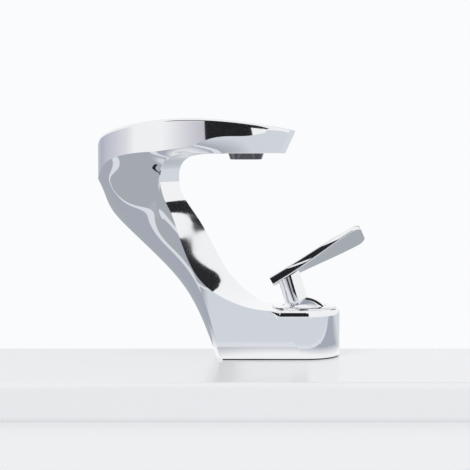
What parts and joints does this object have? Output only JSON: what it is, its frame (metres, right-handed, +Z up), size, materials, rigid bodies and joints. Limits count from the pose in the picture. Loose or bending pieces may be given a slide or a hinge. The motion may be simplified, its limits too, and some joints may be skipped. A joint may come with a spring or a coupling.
{
  "type": "bathroom mixer faucet",
  "caption": "Deck-mounted basin mixer whose body leans away in a twisted ribbon and turns over into a flat spout with an aerator, worked by a side lever on a dome.",
  "frame": {"origin": "middle of the foot's length and width, on the plane of the deck under the gasket", "axes": "+Z up out of the deck, +X along the foot from the column towards the lever, +Y away from the basin, so the spout's outlet lies towards -Y"},
  "size_m": [0.1877, 0.0833, 0.2372],
  "materials": {
    "chrome": "polished",
    "dark_chrome": "polished",
    "steel": "satin",
    "brass": "machined",
    "rubber": "matte",
    "white_plastic": "moulded",
    "ceramic": "lapped"
  },
  "bodies": {
    "faucet": {"faucet_body": "chrome", "base_gasket": "rubber", "mounting_stud": "steel", "rubber_washer": "rubber", "clamp_plate": "steel", "stud_nut": "brass", "cartridge_base": "white_plastic", "port_seals": "rubber", "fixed_disc": "ceramic", "cartridge_housing": "white_plastic", "cartridge_nut": "brass", "bonnet_ring": "chrome", "aerator_housing": "dark_chrome", "aerator_washer": "rubber", "aerator_insert": "white_plastic", "aerator_screen": "steel"},
    "turret": {"turret": "white_plastic", "pivot_pin": "steel"},
    "disc": {"moving_disc": "ceramic", "disc_carrier": "white_plastic"},
    "lever": {"spindle": "brass", "dome_cap": "chrome", "lever_stem": "chrome", "lever_blade": "chrome", "grub_screw": "steel", "screw_plug": "chrome"}
  },
  "joints": [
    {"name": "lever_turn", "type": "hinge", "parent": "faucet", "child": "turret", "pos_m": [0.0165, 0, 0.021], "axis": [0, 0, 1], "range_deg": [-45, 45]},
    {"name": "lever_lift", "type": "hinge", "parent": "turret", "child": "lever", "pos_m": [0.0165, 0, 0.021], "axis": [0, 1, 0], "range_deg": [-3, 22]},
    {"name": "disc_slide", "type": "slide", "parent": "turret", "child": "disc", "axis": [1, 0, 0], "range_m": [-0.0016, 0.0003]}
  ],
  "couplings": [
    {"joint": "disc_slide", "follows": "lever_lift", "m_per_rad": -0.00374}
  ]
}
